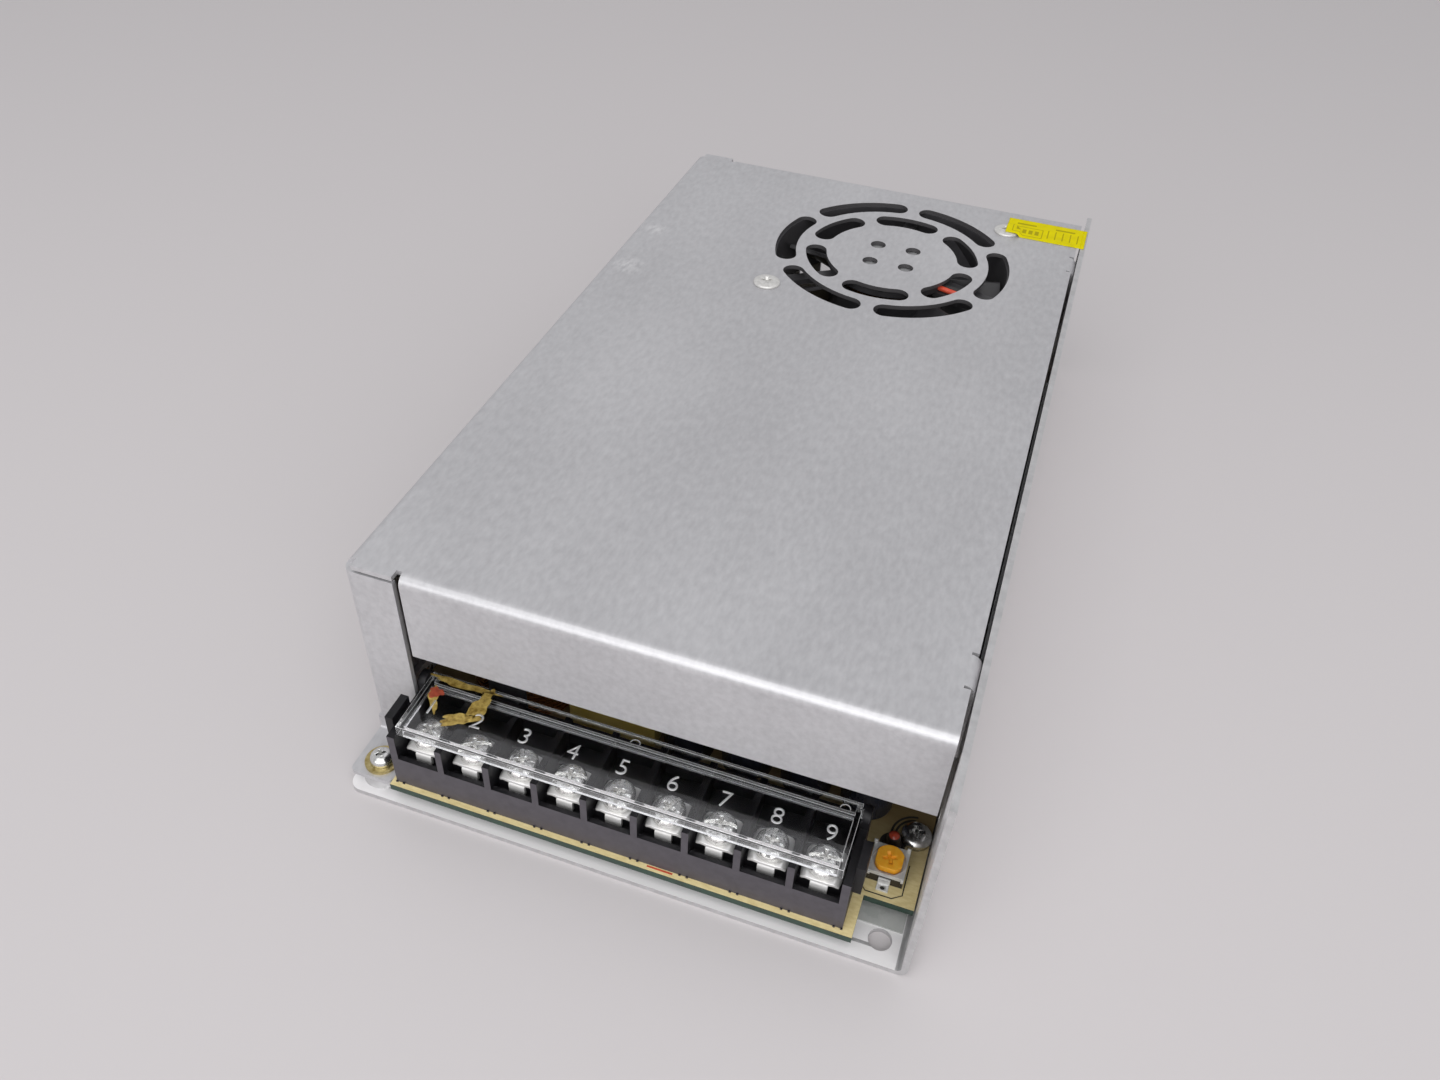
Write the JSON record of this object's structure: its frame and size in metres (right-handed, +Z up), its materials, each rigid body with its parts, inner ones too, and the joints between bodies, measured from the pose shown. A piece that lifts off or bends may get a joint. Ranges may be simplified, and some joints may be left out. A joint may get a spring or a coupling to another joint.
{
  "type": "enclosed switching power supply",
  "caption": "Enclosed switching power supply: folded metal case, fan behind a slotted grille, black barrier terminal block under a clear hinged cover, board with trimmer",
  "frame": {"origin": "middle of the footprint, on the surface that the case stands on", "axes": "X across the case, Y from the terminal end to the rear, Z up"},
  "size_m": [0.11, 0.2, 0.0501],
  "materials": {
    "aluminium_sheet": "satin",
    "zinc_sheet": "satin",
    "plated_steel": "polished",
    "yellow_washer": "satin",
    "board": "matte",
    "insulation": "gloss",
    "black_moulding": "satin",
    "clear_plastic": "gloss",
    "tinned_metal": "satin",
    "orange_plastic": "matte",
    "trimmer_housing": "satin",
    "red_lens": "gloss",
    "fan_plastic": "satin",
    "silver_label": "satin",
    "copper_winding": "satin",
    "red_insulation": "satin",
    "black_insulation": "satin",
    "white_nylon": "satin",
    "can_sleeve": "gloss",
    "ferrite": "matte",
    "tape_winding": "gloss",
    "powder_core": "matte",
    "film_box": "satin",
    "blue_coating": "satin",
    "green_coating": "satin",
    "fuse_glass": "gloss",
    "package_moulding": "matte",
    "grey_film": "matte",
    "yellow_seal": "satin"
  },
  "bodies": {
    "case": {"chassis": "aluminium_sheet", "cover": "zinc_sheet", "foot_screw": "plated_steel", "foot_washer": "yellow_washer", "fan_screws": "plated_steel", "fan_nuts": "plated_steel", "right_side_screws": "plated_steel", "left_side_screws": "plated_steel", "insulation_sheet": "insulation", "pcb": "board", "pcb_screws": "plated_steel", "terminal_block": "black_moulding", "terminal_contacts": "tinned_metal", "clamp_plates": "tinned_metal", "terminal_screws": "plated_steel", "trimpot_body": "trimmer_housing", "trimpot_legs": "tinned_metal", "power_led": "red_lens", "fan_frame": "fan_plastic", "fan_label": "silver_label", "fan_stator": "copper_winding", "fan_lead_red": "red_insulation", "fan_lead_black": "black_insulation", "fan_header": "white_nylon", "bulk_capacitors": "can_sleeve", "transformer_core": "ferrite", "transformer_bobbin": "black_moulding", "transformer_winding": "tape_winding", "drive_transformer": "tape_winding", "emi_choke_core": "ferrite", "emi_choke_windings": "copper_winding", "output_choke_core": "powder_core", "output_choke_winding": "copper_winding", "output_capacitors": "can_sleeve", "small_capacitors": "can_sleeve", "x_capacitor": "film_box", "y_capacitors": "blue_coating", "thermistor": "green_coating", "fuse": "fuse_glass", "fuse_clips": "tinned_metal", "bridge_rectifier": "package_moulding", "control_chip": "package_moulding", "load_resistor": "blue_coating", "power_transistors": "package_moulding", "output_diodes": "package_moulding", "insulating_film": "grey_film", "clamp_bars": "plated_steel", "clamp_screws": "plated_steel", "seal_sticker": "yellow_seal"},
    "fan_rotor": {"fan_rotor": "fan_plastic"},
    "lid": {"terminal_lid": "clear_plastic"},
    "trim_rotor": {"trimpot_rotor": "orange_plastic"}
  },
  "joints": [
    {"name": "fan_spin", "type": "hinge", "parent": "case", "child": "fan_rotor", "pos_m": [0.0096, 0.0582, 0.04], "axis": [0, 0, 1], "continuous": true},
    {"name": "lid_hinge", "type": "hinge", "parent": "case", "child": "lid", "pos_m": [-0.0011, -0.0845, 0.0202], "axis": [-1, 0, 0], "range_deg": [0, 60]},
    {"name": "trimmer_turn", "type": "hinge", "parent": "case", "child": "trim_rotor", "pos_m": [0.0472, -0.0837, 0.0075], "axis": [0, 0, 1], "range_deg": [-130, 130]}
  ]
}
